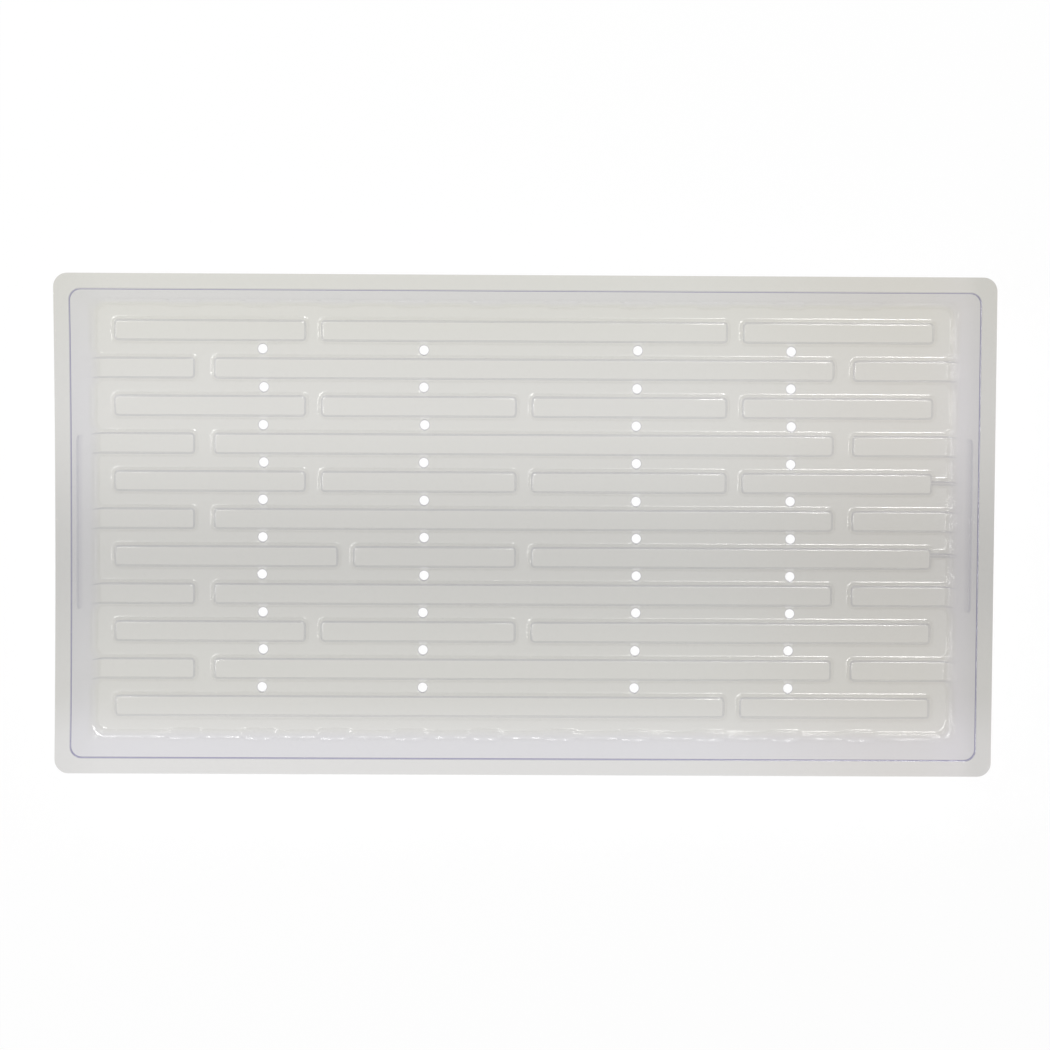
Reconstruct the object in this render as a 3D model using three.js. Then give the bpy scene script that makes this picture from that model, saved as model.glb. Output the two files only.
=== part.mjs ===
// Clear sprouting tray, formed from one thin plastic sheet. Millimetres, +X along the length, +Z up.
// The sheet is divided along its own creases into rim, walls, floor web, raised bars and wall stubs.
import * as THREE from 'three';

// Whole tray
const TRAY_LENGTH = 540;
const TRAY_WIDTH = 288;
const TRAY_HEIGHT = 50;
const SHEET = 0.8;

// Flat rim flange around the mouth
const RIM_WIDTH = 9.5;
const RIM_OUTER_CORNER = 8;
const MOUTH_CORNER = 6.5;

// Walls, from the foot up to the straight step under the rim
const END_WALL_RUN = 10.8;
const SIDE_WALL_RUN = 9.2;
const STEP_DROP = 4;
const LEDGE_DROP = 10;
const LEDGE_FALL = 1.5;
const FOOT_FLAT = 4;
const FOOT_BLEND = 1.5;
const FOOT_UNDERCUT = 0.33;
const FLOOR_CORNER = 7;
const CORNER_STEPS = 4;

// Flutes that stiffen the walls: steeper faces, deepest at the foot, that meet the wall at the step
const FLUTE_DEPTH = 2.2;
const FLUTES_PER_SIDE = 10;
const FLUTE_END_MARGIN = 36.7;

// Plain pad in the middle of each end wall
const PAD_LENGTH = 102;
const PAD_DEPTH = 1.2;

// Raised bars on the floor, in rows across the width
const ROW_COUNT = 11;
const ROW_SIDE_CLEARANCE = 3.55;
const ODD_ROW_END_CLEARANCE = 5.2;
const BAR_HEIGHT = 5;
const BAR_SLOPE_RUN = 2.55;
const BAR_CORNER_STEPS = 2;
const ODD_ROW_GAP = 5.6;
const STUB_LENGTH = 55.4;
const STUB_GAP = 7.8;

// Drain holes in the channels between the rows, in columns at these shares of half the floor's length
const HOLE_DIAMETER = 5.5;
const HOLE_MARGIN = 0.5;
const HOLE_SIDES = 12;
const HOLE_COLUMN_SHARES = [-0.62, -0.238, 0.268, 0.635];

// Where the odd rows are broken, in rows counted from the back and shares of half the floor's length
const QUARTER_SHARE = 0.5;
const OFFSET_SHARE = 0.423;
const ODD_ROW_BREAKS = {
  1: [-QUARTER_SHARE, QUARTER_SHARE],
  3: [-QUARTER_SHARE, 0, QUARTER_SHARE],
  5: [-QUARTER_SHARE, 0, QUARTER_SHARE],
  7: [-OFFSET_SHARE, 0],
  9: [-QUARTER_SHARE, 0],
  11: [QUARTER_SHARE],
};

// Derived sizes
const MOUTH_X = TRAY_LENGTH / 2 - RIM_WIDTH;
const MOUTH_Y = TRAY_WIDTH / 2 - RIM_WIDTH;
const FOOT_X = MOUTH_X - END_WALL_RUN;
const FOOT_Y = MOUTH_Y - SIDE_WALL_RUN;
const FLOOR_X = FOOT_X - FOOT_FLAT;
const FLOOR_Y = FOOT_Y - FOOT_FLAT;
const STEP_Z = TRAY_HEIGHT - STEP_DROP;
const LEDGE_Z = TRAY_HEIGHT - LEDGE_DROP;
const RIM_UNDER_Z = TRAY_HEIGHT - SHEET;
const CHANNEL_WIDTH = HOLE_DIAMETER + 2 * HOLE_MARGIN;
const ROWS_HALF_WIDTH = FLOOR_Y - ROW_SIDE_CLEARANCE;
const BAR_WIDTH = (2 * ROWS_HALF_WIDTH - (ROW_COUNT - 1) * CHANNEL_WIDTH) / ROW_COUNT;
const ROW_PITCH = BAR_WIDTH + CHANNEL_WIDTH;
const HALF_BAR = BAR_WIDTH / 2;
const HALF_BAR_TOP = HALF_BAR - BAR_SLOPE_RUN;
const ODD_ROW_END = FLOOR_X - ODD_ROW_END_CLEARANCE;
const STUB_START = FLOOR_X - STUB_LENGTH;
const MIDDLE_BAR_END = STUB_START - STUB_GAP;
const HALF_FLUTE = ROW_PITCH / 2;
const OUTER_FLUTE = FLOOR_X - FLUTE_END_MARGIN - HALF_FLUTE;
const QUARTER_TURN = Math.PI / 2;

const tray = new THREE.Group();
tray.name = 'sprouting_tray';

const rowY = (row) => ((ROW_COUNT + 1) / 2 - row) * ROW_PITCH;
const isOdd = (row) => row % 2 === 1;
const rows = Array.from({ length: ROW_COUNT }, (_, i) => i + 1);
const evenRows = rows.filter((row) => !isOdd(row));
const stubCentres = evenRows.map(rowY).sort((a, b) => a - b);

function addNode(name, geometry) {
  const material = new THREE.MeshStandardMaterial({ color: 0xd8d7d4, roughness: 0.2 });
  const mesh = new THREE.Mesh(geometry, material);
  mesh.name = name;
  tray.add(mesh);
}

// A list of triangles that leaves out those whose corners fall together.
function makeSkin() {
  const positions = [];
  const same = (p, q) => p.distanceTo(q) < 1e-6;
  const tri = (a, b, c) => {
    if (same(a, b) || same(b, c) || same(c, a)) return;
    positions.push(a.x, a.y, a.z, b.x, b.y, b.z, c.x, c.y, c.z);
  };
  const quad = (a, b, c, d) => {
    tri(a, b, c);
    tri(a, c, d);
  };
  const geometry = () => {
    const g = new THREE.BufferGeometry();
    g.setAttribute('position', new THREE.Float32BufferAttribute(positions, 3));
    g.computeVertexNormals();
    return g;
  };
  return { quad, geometry };
}

const at = (p, z) => new THREE.Vector3(p.x, p.y, z);

// Points of a rounded corner, from the angle start to the angle end.
function arc(cx, cy, radius, start, end, steps) {
  const points = [];
  for (let i = 0; i <= steps; i += 1) {
    const a = start + ((end - start) * i) / steps;
    points.push(new THREE.Vector2(cx + radius * Math.cos(a), cy + radius * Math.sin(a)));
  }
  return points;
}

// Base outline of a bar from x0 to x1, counter-clockwise.
function barOutline(x0, x1, y) {
  const r = BAR_SLOPE_RUN;
  const low = y - HALF_BAR + r;
  const high = y + HALF_BAR - r;
  return [
    ...arc(x1 - r, low, r, -QUARTER_TURN, 0, BAR_CORNER_STEPS),
    ...arc(x1 - r, high, r, 0, QUARTER_TURN, BAR_CORNER_STEPS),
    ...arc(x0 + r, high, r, QUARTER_TURN, 2 * QUARTER_TURN, BAR_CORNER_STEPS),
    ...arc(x0 + r, low, r, 2 * QUARTER_TURN, 3 * QUARTER_TURN, BAR_CORNER_STEPS),
  ];
}

// Outline of a stub's round-cornered inner end on the right, from its front edge to its back edge.
function stubOutline(y) {
  const r = BAR_SLOPE_RUN;
  return [
    new THREE.Vector2(FLOOR_X, y - HALF_BAR),
    ...arc(STUB_START + r, y - HALF_BAR + r, r, 3 * QUARTER_TURN, 2 * QUARTER_TURN, BAR_CORNER_STEPS),
    ...arc(STUB_START + r, y + HALF_BAR - r, r, 2 * QUARTER_TURN, QUARTER_TURN, BAR_CORNER_STEPS),
    new THREE.Vector2(FLOOR_X, y + HALF_BAR),
  ];
}

// The point of a bar's sharp-cornered top that stands over a point of its base outline.
function onTop(p, x0, x1, y) {
  const x = THREE.MathUtils.clamp(p.x, x0, x1);
  return new THREE.Vector2(x, THREE.MathUtils.clamp(p.y, y - HALF_BAR_TOP, y + HALF_BAR_TOP));
}

// Raised bar: a shallow upturned pan of sheet, open below.
function barGeometry(x0, x1, y) {
  const base = barOutline(x0, x1, y);
  const top = base.map((p) => onTop(p, x0 + BAR_SLOPE_RUN, x1 - BAR_SLOPE_RUN, y));
  const cap = [0, 1, 2, 3].map((i) => top[i * (BAR_CORNER_STEPS + 1)]);
  const skin = makeSkin();
  base.forEach((p, i) => {
    const k = (i + 1) % base.length;
    const q = base[k];
    skin.quad(at(p, SHEET), at(q, SHEET), at(top[k], SHEET + BAR_HEIGHT), at(top[i], SHEET + BAR_HEIGHT));
    skin.quad(at(q, 0), at(p, 0), at(top[i], BAR_HEIGHT), at(top[k], BAR_HEIGHT));
    skin.quad(at(p, 0), at(q, 0), at(q, SHEET), at(p, SHEET));
  });
  skin.quad(...cap.map((p) => at(p, SHEET + BAR_HEIGHT)));
  skin.quad(...cap.map((p) => at(p, BAR_HEIGHT)).reverse());
  return skin.geometry();
}

// Stub: a raised bar whose outer end runs on into the end wall. Made on the right, mirrored for the left.
function stubGeometry(y, side) {
  const base = stubOutline(y);
  const top = base.map((p) => onTop(p, STUB_START + BAR_SLOPE_RUN, FLOOR_X, y));
  const corner = Math.floor(base.length / 2);
  const cap = [top[0], top[base.length - 1], top[corner], top[corner - 1]];
  const put = (p, z) => new THREE.Vector3(side * p.x, p.y, z);
  const skin = makeSkin();
  const face = (...points) => skin.quad(...(side > 0 ? points : points.reverse()));
  for (let i = 0; i + 1 < base.length; i += 1) {
    const [p, q, u, v] = [base[i], base[i + 1], top[i], top[i + 1]];
    face(put(q, SHEET), put(p, SHEET), put(u, SHEET + BAR_HEIGHT), put(v, SHEET + BAR_HEIGHT));
    face(put(p, 0), put(q, 0), put(v, BAR_HEIGHT), put(u, BAR_HEIGHT));
    face(put(q, 0), put(p, 0), put(p, SHEET), put(q, SHEET));
  }
  face(...cap.map((p) => put(p, SHEET + BAR_HEIGHT)));
  face(...cap.map((p) => put(p, BAR_HEIGHT)).reverse());
  const section = [base[0], top[0], top[base.length - 1], base[base.length - 1]];
  const rise = [0, BAR_HEIGHT, BAR_HEIGHT, 0];
  for (let i = 0; i < 3; i += 1) {
    const [p, q] = [section[i], section[i + 1]];
    face(put(p, rise[i]), put(q, rise[i + 1]), put(q, rise[i + 1] + SHEET), put(p, rise[i] + SHEET));
  }
  return skin.geometry();
}

// The bars of one row as [x0, x1] spans from left to right.
function rowSpans(row) {
  if (!isOdd(row)) return [[-MIDDLE_BAR_END, MIDDLE_BAR_END]];
  const breaks = ODD_ROW_BREAKS[row].map((share) => share * FLOOR_X);
  const starts = [-ODD_ROW_END, ...breaks.map((x) => x + ODD_ROW_GAP / 2)];
  const ends = [...breaks.map((x) => x - ODD_ROW_GAP / 2), ODD_ROW_END];
  return starts.map((x, i) => [x, ends[i]]);
}

// Columns of points that climb the walls, each on a straight side or in a round corner.
const endColumn = (sx, y) => ({ place: (hx) => [sx * hx, y], end: true, along: y });
const sideColumn = (sy, x) => ({ place: (hx, hy) => [x, sy * hy], end: false, along: x });
const cornerColumn = (sx, sy, a) => ({
  place: (hx, hy, r) => [sx * (hx - r + r * Math.cos(a)), sy * (hy - r + r * Math.sin(a))],
});

// Corner columns of one corner, from one step to another. Step 0 ends an end wall.
function cornerColumns(sx, sy, from, to) {
  const count = Math.abs(to - from);
  const step = (i) => from + Math.sign(to - from) * i;
  return Array.from({ length: count + 1 }, (_, i) => {
    return cornerColumn(sx, sy, (step(i) * QUARTER_TURN) / CORNER_STEPS);
  });
}

// How far a flute at one of the centres pushes the foot of a wall inward, at a point along it.
function fluteDepth(along, centres) {
  const off = Math.min(...centres.map((c) => Math.abs(along - c)));
  const rise = (HALF_FLUTE - off) / (HALF_FLUTE - HALF_BAR);
  return FLUTE_DEPTH * THREE.MathUtils.clamp(rise, 0, 1);
}

// Height of the stub that meets an end wall at y.
function stubHeight(y) {
  const off = Math.min(...stubCentres.map((c) => Math.abs(y - c)));
  return BAR_HEIGHT * THREE.MathUtils.clamp((HALF_BAR - off) / BAR_SLOPE_RUN, 0, 1);
}

const sideFlutes = Array.from({ length: FLUTES_PER_SIDE }, (_, i) => {
  return THREE.MathUtils.lerp(-OUTER_FLUTE, OUTER_FLUTE, i / (FLUTES_PER_SIDE - 1));
});

// Inner and outer points of the wall in one column, from the floor's edge up to the rim.
function wallColumn(column) {
  const straight = column.along !== undefined;
  const flute = straight ? fluteDepth(column.along, column.end ? stubCentres : sideFlutes) : 0;
  const pad = column.end && Math.abs(column.along) < PAD_LENGTH / 2 ? PAD_DEPTH : 0;
  const lift = column.end ? stubHeight(column.along) : 0;
  const climb = (z) => (z - SHEET) / (STEP_Z - SHEET);
  const push = (z) => Math.max(flute * (1 - climb(z)), z < LEDGE_Z ? pad : 0);
  const line = (z) => [FOOT_X + END_WALL_RUN * climb(z), FOOT_Y + SIDE_WALL_RUN * climb(z)];
  const level = (z, back, drop, out) => ({ size: line(z).map((v) => v - back - push(z)), z, drop, out });
  const foot = SHEET + lift;
  const levels = [
    { size: [FLOOR_X, FLOOR_Y], z: foot, drop: SHEET, out: 0 },
    level(foot, FOOT_BLEND, SHEET, FOOT_UNDERCUT),
    level(foot + FOOT_BLEND, 0, SHEET / 2, SHEET),
    level(LEDGE_Z - LEDGE_FALL, 0, 0, SHEET),
    level(LEDGE_Z, 0, 0, SHEET),
    level(STEP_Z, 0, 0, SHEET),
    { ...level(STEP_Z, 0, 0, SHEET), z: TRAY_HEIGHT },
  ];
  const radius = (z) => FLOOR_CORNER + (MOUTH_CORNER - FLOOR_CORNER) * Math.min(climb(z), 1);
  const point = (l, out, drop) => {
    const [hx, hy] = l.size;
    const [x, y] = column.place(hx + out, hy + out, radius(l.z) + out);
    return new THREE.Vector3(x, y, l.z - drop);
  };
  return { inner: levels.map((l) => point(l, 0, 0)), outer: levels.map((l) => point(l, l.out, l.drop)) };
}

// One wall: columns run counter-clockwise around the tray, from mitre to mitre.
function wallGeometry(columns) {
  const skin = makeSkin();
  const built = columns.map(wallColumn);
  const top = built[0].inner.length - 1;
  for (let i = 0; i + 1 < built.length; i += 1) {
    const [a, b] = [built[i], built[i + 1]];
    for (let j = 0; j < top; j += 1) {
      skin.quad(a.inner[j], a.inner[j + 1], b.inner[j + 1], b.inner[j]);
      skin.quad(a.outer[j], b.outer[j], b.outer[j + 1], a.outer[j + 1]);
    }
    skin.quad(a.inner[top], a.outer[top], b.outer[top], b.inner[top]);
    skin.quad(a.inner[0], b.inner[0], b.outer[0], a.outer[0]);
  }
  const [first, last] = [built[0], built[built.length - 1]];
  for (let j = 0; j < top; j += 1) {
    skin.quad(first.inner[j], first.outer[j], first.outer[j + 1], first.inner[j + 1]);
    skin.quad(last.inner[j], last.inner[j + 1], last.outer[j + 1], last.outer[j]);
  }
  return skin.geometry();
}

// One side of the rim between two mitres, from the wall's outer face to the trimmed edge.
function rimGeometry(columns) {
  const ring = (hx, hy, r) => columns.map((c) => new THREE.Vector2(...c.place(hx, hy, r)));
  const outer = ring(TRAY_LENGTH / 2, TRAY_WIDTH / 2, RIM_OUTER_CORNER);
  const inner = ring(MOUTH_X + SHEET, MOUTH_Y + SHEET, MOUTH_CORNER + SHEET);
  const shape = new THREE.Shape([...outer, ...inner.reverse()]);
  const plate = new THREE.ExtrudeGeometry(shape, { depth: SHEET, bevelEnabled: false });
  return plate.translate(0, 0, RIM_UNDER_Z);
}

// Floor web: the flat sheet between the bars, notched by the stubs and pierced by the drain holes.
function floorGeometry() {
  const corner = (sx, sy, from, to) => cornerColumns(sx, sy, from, to)
    .map((c) => new THREE.Vector2(...c.place(FLOOR_X, FLOOR_Y, FLOOR_CORNER)));
  const rightNotches = stubCentres.flatMap(stubOutline);
  const leftNotches = rightNotches.map((p) => new THREE.Vector2(-p.x, p.y)).reverse();
  const shape = new THREE.Shape([
    ...rightNotches,
    ...corner(1, 1, 0, CORNER_STEPS),
    ...corner(-1, 1, CORNER_STEPS, 0),
    ...leftNotches,
    ...corner(-1, -1, 0, CORNER_STEPS),
    ...corner(1, -1, CORNER_STEPS, 0),
  ]);
  rows.forEach((row) => {
    rowSpans(row).forEach(([x0, x1]) => shape.holes.push(new THREE.Path(barOutline(x0, x1, rowY(row)))));
  });
  rows.slice(1).forEach((row) => {
    const y = rowY(row) + ROW_PITCH / 2;
    HOLE_COLUMN_SHARES.forEach((share) => {
      const round = arc(share * FLOOR_X, y, HOLE_DIAMETER / 2, 0, 4 * QUARTER_TURN, HOLE_SIDES).slice(1);
      shape.holes.push(new THREE.Path(round));
    });
  });
  return new THREE.ExtrudeGeometry(shape, { depth: SHEET, bevelEnabled: false });
}

// Mitre to mitre, counter-clockwise: half a corner, the straight run, half a corner.
const MITRE = CORNER_STEPS / 2;
const spread = (centres, offsets) => centres.flatMap((c) => offsets.map((o) => c + o));
const endRuns = spread(stubCentres, [-HALF_FLUTE, -HALF_BAR, -HALF_BAR_TOP, HALF_BAR_TOP, HALF_BAR, HALF_FLUTE]);
const sideRuns = spread(sideFlutes, [-HALF_FLUTE, -HALF_BAR, HALF_BAR, HALF_FLUTE]);

function endColumns(sx) {
  const up = [
    ...cornerColumns(sx, -1, MITRE, 0),
    ...endRuns.map((y) => endColumn(sx, y)),
    ...cornerColumns(sx, 1, 0, MITRE),
  ];
  return sx > 0 ? up : up.reverse();
}

function sideColumns(sy) {
  const across = [
    ...cornerColumns(-1, sy, MITRE, CORNER_STEPS),
    ...sideRuns.map((x) => sideColumn(sy, x)),
    ...cornerColumns(1, sy, CORNER_STEPS, MITRE),
  ];
  return sy < 0 ? across : across.reverse();
}

const sides = { right: endColumns(1), back: sideColumns(1), left: endColumns(-1), front: sideColumns(-1) };
Object.entries(sides).forEach(([side, columns]) => {
  const isEnd = side === 'left' || side === 'right';
  addNode(`${side}_${isEnd ? 'end' : 'side'}_wall`, wallGeometry(columns));
  addNode(`${side}_rim`, rimGeometry(columns.filter((c) => c.along === undefined)));
});

addNode('floor_web', floorGeometry());

rows.forEach((row) => {
  const label = `row_${String(row).padStart(2, '0')}`;
  rowSpans(row).forEach(([x0, x1], i) => addNode(`bar_${label}_${'abcd'[i]}`, barGeometry(x0, x1, rowY(row))));
  if (isOdd(row)) return;
  addNode(`stub_${label}_left`, stubGeometry(rowY(row), -1));
  addNode(`stub_${label}_right`, stubGeometry(rowY(row), 1));
});

export default tray;
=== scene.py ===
"""Clear sprouting tray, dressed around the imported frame.

The real tray is one sheet of clear plastic drawn over a mould, so one seamless sheet stands for all the
CAD zones. It is laid out as a middle surface, embossed with the bars, given its thickness and then punched
with drain holes.
"""
import math

import bmesh
import bpy
from mathutils import Matrix, Vector


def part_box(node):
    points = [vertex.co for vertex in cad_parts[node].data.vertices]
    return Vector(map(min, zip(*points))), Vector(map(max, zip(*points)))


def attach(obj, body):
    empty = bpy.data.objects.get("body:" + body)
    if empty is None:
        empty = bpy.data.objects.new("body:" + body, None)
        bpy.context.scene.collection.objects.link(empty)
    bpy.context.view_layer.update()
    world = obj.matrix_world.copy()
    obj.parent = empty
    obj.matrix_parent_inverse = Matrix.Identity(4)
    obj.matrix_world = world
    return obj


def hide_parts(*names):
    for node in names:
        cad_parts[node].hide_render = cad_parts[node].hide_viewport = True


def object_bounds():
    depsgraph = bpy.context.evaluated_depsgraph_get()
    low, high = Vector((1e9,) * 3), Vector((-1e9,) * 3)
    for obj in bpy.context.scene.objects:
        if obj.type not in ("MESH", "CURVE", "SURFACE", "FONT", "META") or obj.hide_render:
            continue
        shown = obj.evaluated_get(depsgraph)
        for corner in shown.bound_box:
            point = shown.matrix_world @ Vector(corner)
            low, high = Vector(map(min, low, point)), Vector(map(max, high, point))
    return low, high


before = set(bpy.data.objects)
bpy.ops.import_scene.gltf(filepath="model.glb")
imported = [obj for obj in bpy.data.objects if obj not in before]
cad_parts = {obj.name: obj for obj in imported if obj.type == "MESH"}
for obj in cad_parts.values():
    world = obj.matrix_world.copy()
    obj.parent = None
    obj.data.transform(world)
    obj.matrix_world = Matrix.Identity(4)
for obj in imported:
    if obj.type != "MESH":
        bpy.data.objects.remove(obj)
cad_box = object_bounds()

MM = 0.001

# Sizes that the frame gives
TRAY_X, TRAY_Y, TRAY_TOP = cad_box[1]
FLOOR_X, FLOOR_Y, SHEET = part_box("floor_web")[1]
MID_FLOOR = SHEET / 2
MID_RIM = TRAY_TOP - SHEET / 2
BARS = [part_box(name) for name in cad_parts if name.startswith("bar_")]
STUBS = [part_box(name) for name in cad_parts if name.startswith("stub_")]
STUB_CENTRES = sorted({round((low.y + high.y) / 2, 5) for low, high in STUBS})
ROW_CENTRES = sorted({round((low.y + high.y) / 2, 5) for low, high in BARS})
ROW_PITCH = ROW_CENTRES[1] - ROW_CENTRES[0]
BAR_WIDTH = BARS[0][1].y - BARS[0][0].y
BAR_HEIGHT = BARS[0][1].z - SHEET

# Bars: sloped sides with a crisp top edge and a softer foot
BAR_SLOPE_RUN = 2.55 * MM
BAR_TOP_ROUND = 1.0 * MM
BAR_FOOT_ROUND = 2.0 * MM
BAR_CORNER = 1.6 * MM
BAR_CORNER_STEPS = 5
STUB_OVERRUN = 12 * MM

# Grid lines on a bar's slope, measured out from the edge of its flat top
SLOPE_LINES = [v * MM for v in (-1.8, -0.75, -0.4, -0.1, 0.2, 0.45, 0.8, 1.6, 2.15, 2.6, 3.05, 3.8)]

# Painted shade: a dark violet line along a bar's top edge, standing for the dark band that refraction gives
# at the bend
BAR_EDGE_START = 0.2 * MM
BAR_EDGE_PEAK = 0.45 * MM
BAR_EDGE_END = 0.8 * MM
BAR_EDGE_SHADE = 0.52

# Two narrow webs tie the right ends of the fifth and seventh rows from the back to the end wall
WEBS = (ROW_CENTRES[-5] + 0.6 * MM, ROW_CENTRES[-7] + 2.3 * MM)
WEB_TOP = 0.4 * MM
WEB_LINES = [v * MM for v in (-3.4, -2.6, -1.9, -1.2, -0.6, -0.2, 0.2, 0.6, 1.2, 1.9, 2.6, 3.4)]

# Walls and rim, measured on the middle of the sheet
RIM_WIDTH = 9.5 * MM
MOUTH_X = TRAY_X - RIM_WIDTH + SHEET / 2
MOUTH_Y = TRAY_Y - RIM_WIDTH + SHEET / 2
END_WALL_RUN = 10.8 * MM
SIDE_WALL_RUN = 9.2 * MM
STEP_Z = TRAY_TOP - 4 * MM
STUB_FADE_Z = 14 * MM
LEFT_BOW = 0.9 * MM

# Round corners of the tray, from the floor's edge up to the rim's
BASE_CORNER = 2 * MM
FLOOR_CORNER = 7 * MM
MOUTH_CORNER = 6.5 * MM
RIM_CORNER = 8 * MM
CORNER_STEPS = 8

# Foot and shoulder of a wall
FOOT_CHAMFER = 0.9 * MM
FOOT_BLEND = 0.35 * MM
SHOULDER = 0.7 * MM
SHOULDER_BLEND = 0.28 * MM
END_SHOULDER_Z = 7 * MM
SIDE_SHOULDER_Z = 11 * MM
SHOULDER_LIFT = 5 * MM

# Bends higher up a wall
LEDGE_Z = TRAY_TOP - 10 * MM
LEDGE_FALL = 1.5 * MM
LEDGE_BLEND = 0.6 * MM
STEP_BLEND = 1.0 * MM
RIM_BLEND = 0.7 * MM

# Points in each bend of a wall, and the painted violet shade of those at the rim and at a pad's ledge,
# standing for the dark line that refraction and internal reflection give in these bends
FOOT_STEPS = (4, 2, 3, 3)
BEND_STEPS = 3
WALL_PARTS = 3
RIM_BEND_SHADES = (0.8, 1.0, 1.0, 0.6, 0.1, 0.0)
LEDGE_BEND_SHADES = (0.14, 0.36, 0.14)

# Flutes and the plain pads of the end walls
FLUTE_DEPTH = 2.2 * MM
SIDE_FLUTE_SHARE = 0.5
FLUTE_COUNT = 10
END_TO_FLUTE = 36.7 * MM
OUTER_FLUTE = FLOOR_X - END_TO_FLUTE - ROW_PITCH / 2
SIDE_FLUTES = [OUTER_FLUTE * (2 * i / (FLUTE_COUNT - 1) - 1) for i in range(FLUTE_COUNT)]
FLUTE_LINES = [v * MM for v in (7.6, 8.5, 9.4, 10.3, 11.2)]
PAD_HALF_LENGTH = 51 * MM
PAD_EDGE = 1.5 * MM
PAD_DEPTH = 1.2 * MM
PAD_CORNER = 5 * MM
PAD_LINES = [PAD_HALF_LENGTH - v * MM for v in (5.0, 3.2, 2.0, 1.2, 0.6, 0.0)]

# Drain holes
HOLE_DIAMETER = 4.9 * MM
HOLE_LIP = 0.9 * MM
HOLE_STEEP = 0.5
HOLE_COLUMNS = [share * FLOOR_X for share in (-0.62, -0.238, 0.268, 0.635)]
HOLE_STRAY = 0.5 * MM
HOLE_SIDES = 28
HOLE_SEED = 7
HOLE_CELL = 4.3 * MM
PUNCH_OVERRUN = 0.5 * MM

# Floor grid
GRID_MARGIN = 2.3 * MM
RING_INSET = 1.5 * MM
LINE_MERGE = 0.12 * MM
LONGEST_CELL = 40 * MM
SHARP_ANGLE = math.radians(42)

# Finish of the sheet, with painted shade in the walls' cooler tone and in the dark violet lines at bends and
# cut edges
FLOOR_COLOUR = "#e0dfdb"
# The walls' slightly cooler colour is the sheet's colour with painted shade, standing for the cooler tone of
# light crossing a steep wall slantwise; the rim takes a share of it
WALL_COLOUR_AND_SLANT_SHADE = "#e1e0e1"
RIM_SHARE = 0.2
# Painted shade: the dark violet of the lines at sharp bends and at the holes' cut edges
BEND_SHADE_COLOUR = "#64628e"
# Share of the painted dark line that the holes' cut edges get, standing for the dark ring that refraction
# gives round a hole
CUT_EDGE_SHADE = 0.42
BODY_COLOUR = "#c9c9ee"
BODY_DENSITY = 4.0
SHEET_IOR = 1.001
COAT_IOR = 1.57
COAT_ROUGHNESS = 0.2
HAZE_SIZE = 9 * MM
HAZE_RANGE = (0.3, 0.7)
HAZE_ROUGHNESS = (0.03, 0.08)
WAVE_SIZE = 38 * MM
WAVE_HEIGHT = 0.5 * MM
WAVE_STRENGTH = 0.004

# Walls shine less than the floor, so the coat fades to this share as the normal's upward part falls
WALL_COAT = 0.1
COAT_FADE = (0.25, 0.42)

# Table, and its soft shade seen through the sheet, with stops in millimetres
WHITE = "#ffffff"
TABLE_COLOUR = "#f2f2f2"
TABLE_WHITE = 0.95
TABLE_HALF = 4.0
TABLE_DROP = 0.2 * MM
SHADE_ALONG = ((-137, "#fdfdff"), (-98, "#ededec"), (-28, "#e3e3e3"), (66, "#f8f8f8"), (150, "#f6f6f2"))
SHADE_ACROSS = (
    (-277, "#f9f9f9"), (-240, "#ffffff"), (80, "#fcfcfc"),
    (230, "#f5f3f1"), (255, "#f5f3f3"), (268, "#ecebea"))
SHADE_REACH = {"X": 278 * MM, "Y": 152 * MM}
SHADE_FADE = 14 * MM
ROOM_FILL = 0.1

# Camera, nearly straight above the tray, leaning a little to the back and the left
CAMERA_DISTANCE = 2.51
LEAN_BACK = math.radians(4.6)
LEAN_LEFT = math.radians(0.81)
ROLL = math.radians(0.33)
SENSOR = 36
FRAME_WIDTH = 602.9 * MM
AIM = Vector((0.2 * MM, 0.7 * MM, TRAY_TOP))


def add(tree, kind, settings=None, **inputs):
    """Adds a node, sets its properties, and gives its inputs a value or a link.

    An input is named, with _ for a space, or numbered as i0, i1 and so on.
    """
    node = tree.nodes.new(kind)
    for key, value in (settings or {}).items():
        setattr(node, key, value)
    for key, value in inputs.items():
        if key[0] == "i" and key[1:].isdigit():
            socket = node.inputs[int(key[1:])]
        else:
            socket = node.inputs[key.replace("_", " ")]
        if isinstance(value, bpy.types.NodeSocket):
            tree.links.new(value, socket)
        else:
            socket.default_value = value
    return node


def linear(hex_colour):
    """An sRGB hex colour as linear red, green, blue and alpha."""
    values = [int(hex_colour[i:i + 2], 16) / 255 for i in (1, 3, 5)]
    return (*[v / 12.92 if v <= 0.04045 else ((v + 0.055) / 1.055) ** 2.4 for v in values], 1.0)


def smooth_step(low, high, value):
    """0 below the low value and 1 above the high one, with an even ease between them."""
    t = min(max((value - low) / (high - low), 0.0), 1.0)
    return t * t * (3 - 2 * t)


# The sheet's middle surface


def merged(lines, longest=None):
    """Sorted lines with near doubles merged, and long cells halved until none is longer than the limit."""
    kept = []
    for v in sorted(lines):
        if not kept or v - kept[-1] > LINE_MERGE:
            kept.append(v)
    if longest is None:
        return kept
    filled = [kept[0]]
    for v in kept[1:]:
        parts = math.ceil((v - filled[-1]) / longest)
        start = filled[-1]
        filled += [start + (v - start) * k / parts for k in range(1, parts + 1)]
    return filled


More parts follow.
